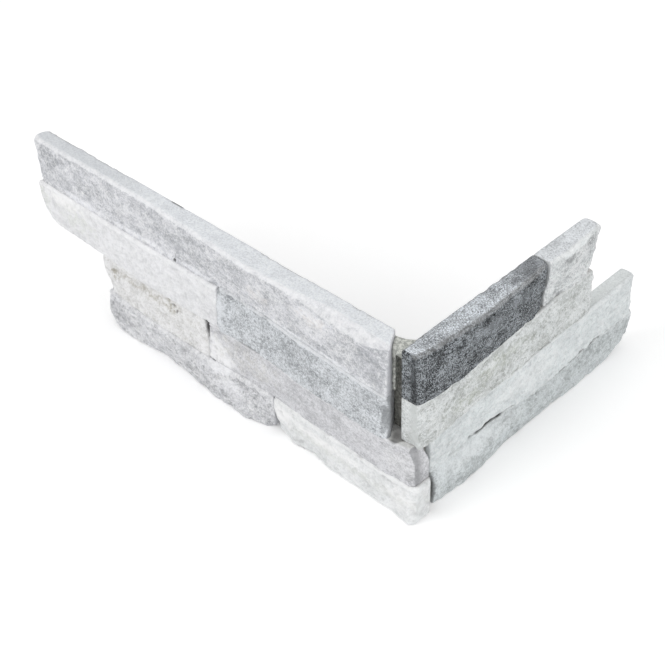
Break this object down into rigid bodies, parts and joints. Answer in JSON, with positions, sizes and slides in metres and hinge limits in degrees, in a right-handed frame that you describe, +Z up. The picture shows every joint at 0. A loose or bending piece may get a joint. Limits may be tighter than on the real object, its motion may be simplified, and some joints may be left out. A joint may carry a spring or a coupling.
{
  "type": "stone cladding corner",
  "caption": "L-shaped corner panel of split stone strips, bonded in stepped courses with a finger joint at the corner, to clad the outer corner of a wall",
  "frame": {"origin": "foot of the inner corner, where the planes of the two sawn backs and the foot meet", "axes": "+Z up the panel, the long leg runs along -X with its split face to -Y, the short leg runs along +Y with its split face to +X"},
  "size_m": [0.2737, 0.178, 0.1],
  "materials": {
    "blue_grey_slate": "split face, sawn beds and back",
    "charcoal_slate": "split face, sawn beds and back",
    "pale_grey_stone": "split face, sawn beds and back",
    "white_quartzite": "split face, sawn beds and back",
    "speckled_slate": "split face, sawn beds and back",
    "cream_quartzite": "split face, sawn beds and back",
    "stained_quartzite": "split face, sawn beds and back",
    "mauve_slate": "split face, sawn beds and back",
    "ice_quartzite": "split face, sawn beds and back",
    "mauve_speckled_slate": "split face, sawn beds and back",
    "greenish_quartzite": "split face, sawn beds and back",
    "grey_green_slate": "split face, sawn beds and back",
    "adhesive": "dull, slightly hollow bead"
  },
  "bodies": {
    "root": {"long_top_strip": "blue_grey_slate", "short_charcoal_strip": "charcoal_slate", "short_pale_stone": "pale_grey_stone", "long_white_strip": "white_quartzite", "long_speckled_strip": "speckled_slate", "short_cream_strip": "cream_quartzite", "long_cream_stone": "stained_quartzite", "corner_grey_strip": "mauve_slate", "short_ice_strip": "ice_quartzite", "long_base_stone": "mauve_speckled_slate", "corner_white_strip": "greenish_quartzite", "short_base_strip": "grey_green_slate", "corner_adhesive": "adhesive"}
  },
  "joints": []
}
